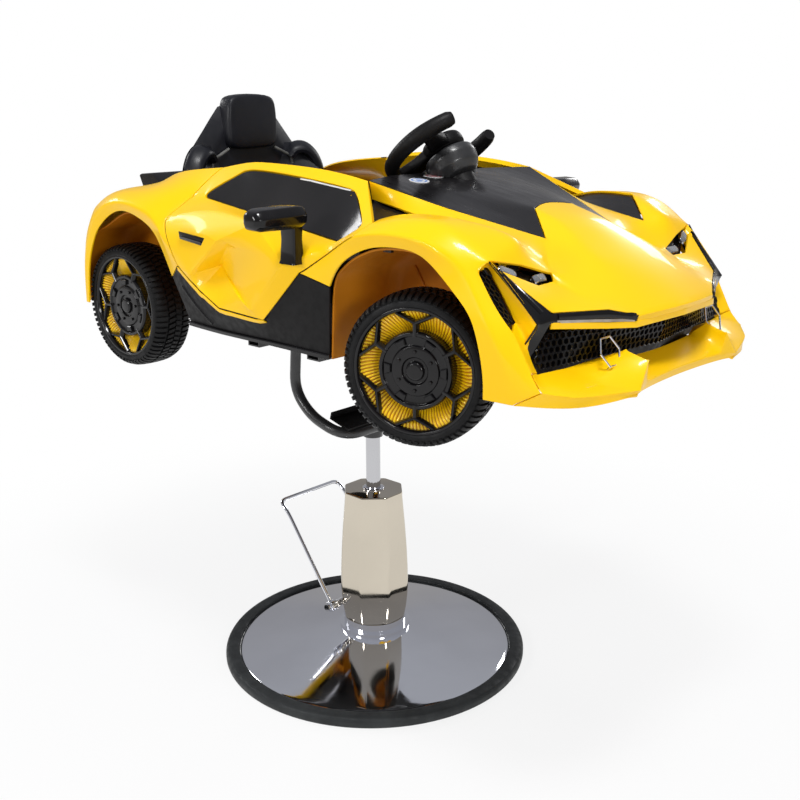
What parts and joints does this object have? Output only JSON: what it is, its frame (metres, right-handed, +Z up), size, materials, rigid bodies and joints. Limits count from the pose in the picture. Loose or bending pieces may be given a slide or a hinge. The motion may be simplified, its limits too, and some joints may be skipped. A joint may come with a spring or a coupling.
{
  "type": "children's car barber chair",
  "caption": "Child's toy sports car on a height-adjustable swivelling pump column with a round base, for seating a child for a haircut.",
  "frame": {"origin": "centre of the round base, on the floor", "axes": "+X towards the car's nose, +Y towards the car's left side, +Z up"},
  "size_m": [1.155, 0.836, 1.0736],
  "materials": {
    "chrome": "polished",
    "cast_iron": "rough cast",
    "rim_rubber": "satin",
    "bare_steel": "turned",
    "black_steel": "satin powder coat",
    "black_plastic": "fine grain",
    "black_gloss": "gloss",
    "yellow_gloss": "gloss",
    "yellow_matte": "satin",
    "lamp_lens": "clear",
    "seat_plastic": "satin",
    "tyre_rubber": "moulded"
  },
  "bodies": {
    "base": {"base_plate": "chrome", "base_weight": "cast_iron", "base_rim": "rim_rubber", "pump_foot": "bare_steel", "pump_cylinder": "bare_steel", "pump_cover": "chrome", "rod_seal": "rim_rubber"},
    "lever": {"lever_shaft": "chrome", "pump_lever": "chrome"},
    "ram": {"piston_rod": "chrome"},
    "steering": {"steering_wheel": "black_plastic", "steering_shaft": "bare_steel"},
    "horn": {"horn_button": "black_gloss"},
    "door_right": {"door_right": "yellow_gloss", "window_right": "black_gloss", "mirror_right": "black_gloss"},
    "knuckle_right": {"knuckle_right": "black_steel"},
    "front_wheel_right": {"front_tyre_right": "tyre_rubber", "front_dish_right": "yellow_matte", "front_spokes_right": "black_gloss"},
    "rear_wheel_right": {"rear_tyre_right": "tyre_rubber", "rear_dish_right": "yellow_matte", "rear_spokes_right": "black_gloss"},
    "door_left": {"door_left": "yellow_gloss", "window_left": "black_gloss", "mirror_left": "black_gloss"},
    "knuckle_left": {"knuckle_left": "black_steel"},
    "front_wheel_left": {"front_tyre_left": "tyre_rubber", "front_dish_left": "yellow_matte", "front_spokes_left": "black_gloss"},
    "rear_wheel_left": {"rear_tyre_left": "tyre_rubber", "rear_dish_left": "yellow_matte", "rear_spokes_left": "black_gloss"},
    "chair": {"chassis_tub": "black_plastic", "cowl_panel": "black_gloss", "dashboard": "black_plastic", "fender_inserts": "black_gloss", "footrest_frame": "black_steel", "footrest_pad": "black_steel", "frame_bolts": "bare_steel", "front_axle_beam": "black_steel", "front_body": "yellow_gloss", "front_bumper": "yellow_gloss", "front_grille": "black_plastic", "headlamps": "lamp_lens", "hinge_bracket": "bare_steel", "light_trims": "black_gloss", "mount_frame": "black_steel", "rear_axle": "bare_steel", "rear_body": "yellow_gloss", "rear_wing": "black_gloss", "seat": "seat_plastic", "seat_base": "black_plastic", "side_grilles": "black_plastic", "side_skirt_left": "black_plastic", "side_skirt_right": "black_plastic", "steering_column": "black_plastic", "swivel_socket": "black_steel", "tail_panel": "black_gloss", "wheel_liners": "yellow_matte"}
  },
  "joints": [
    {"name": "ram_lift", "type": "slide", "parent": "base", "child": "ram", "axis": [0, 0, 1], "range_m": [-0.085, 0.075]},
    {"name": "chair_swivel", "type": "hinge", "parent": "ram", "child": "chair", "pos_m": [0, 0, 0.5], "axis": [0, 0, 1], "continuous": true},
    {"name": "lever_pivot", "type": "hinge", "parent": "base", "child": "lever", "pos_m": [-0.04, 0, 0.104], "axis": [0, 1, 0], "range_deg": [-35, 0], "stiffness_Nm_per_rad": 4, "springref_deg": 17.19},
    {"name": "steering_turn", "type": "hinge", "parent": "chair", "child": "steering", "pos_m": [0.172, 0, 0.994], "axis": [-0.6018, 0, 0.7986], "range_deg": [-41, 3]},
    {"name": "horn_press", "type": "slide", "parent": "steering", "child": "horn", "axis": [0.6018, 0, -0.7986], "range_m": [0, 0.0025], "stiffness_N_per_m": 600, "springref_m": -0.001},
    {"name": "knuckle_turn_right", "type": "hinge", "parent": "chair", "child": "knuckle_right", "pos_m": [0.34, -0.21636, 0.695], "axis": [0, 0, 1], "range_deg": [-41, 3]},
    {"name": "front_spin_right", "type": "hinge", "parent": "knuckle_right", "child": "front_wheel_right", "pos_m": [0.34, -0.21636, 0.695], "axis": [0.3256, -0.9455, 0], "continuous": true},
    {"name": "rear_spin_right", "type": "hinge", "parent": "chair", "child": "rear_wheel_right", "pos_m": [-0.372, -0.25, 0.695], "axis": [0, -1, 0], "continuous": true},
    {"name": "door_lift_right", "type": "hinge", "parent": "chair", "child": "door_right", "pos_m": [0.288, -0.258, 0.893], "axis": [0, 1, 0], "range_deg": [0, 45]},
    {"name": "knuckle_turn_left", "type": "hinge", "parent": "chair", "child": "knuckle_left", "pos_m": [0.34, 0.21636, 0.695], "axis": [0, 0, 1], "range_deg": [-41, 3]},
    {"name": "front_spin_left", "type": "hinge", "parent": "knuckle_left", "child": "front_wheel_left", "pos_m": [0.34, 0.21636, 0.695], "axis": [-0.3256, 0.9455, 0], "continuous": true},
    {"name": "rear_spin_left", "type": "hinge", "parent": "chair", "child": "rear_wheel_left", "pos_m": [-0.372, 0.25, 0.695], "axis": [0, 1, 0], "continuous": true},
    {"name": "door_lift_left", "type": "hinge", "parent": "chair", "child": "door_left", "pos_m": [0.288, 0.258, 0.893], "axis": [0, 1, 0], "range_deg": [0, 45]}
  ],
  "couplings": [
    {"joint": "knuckle_turn_right", "follows": "steering_turn", "ratio": 1},
    {"joint": "knuckle_turn_left", "follows": "steering_turn", "ratio": 1}
  ]
}
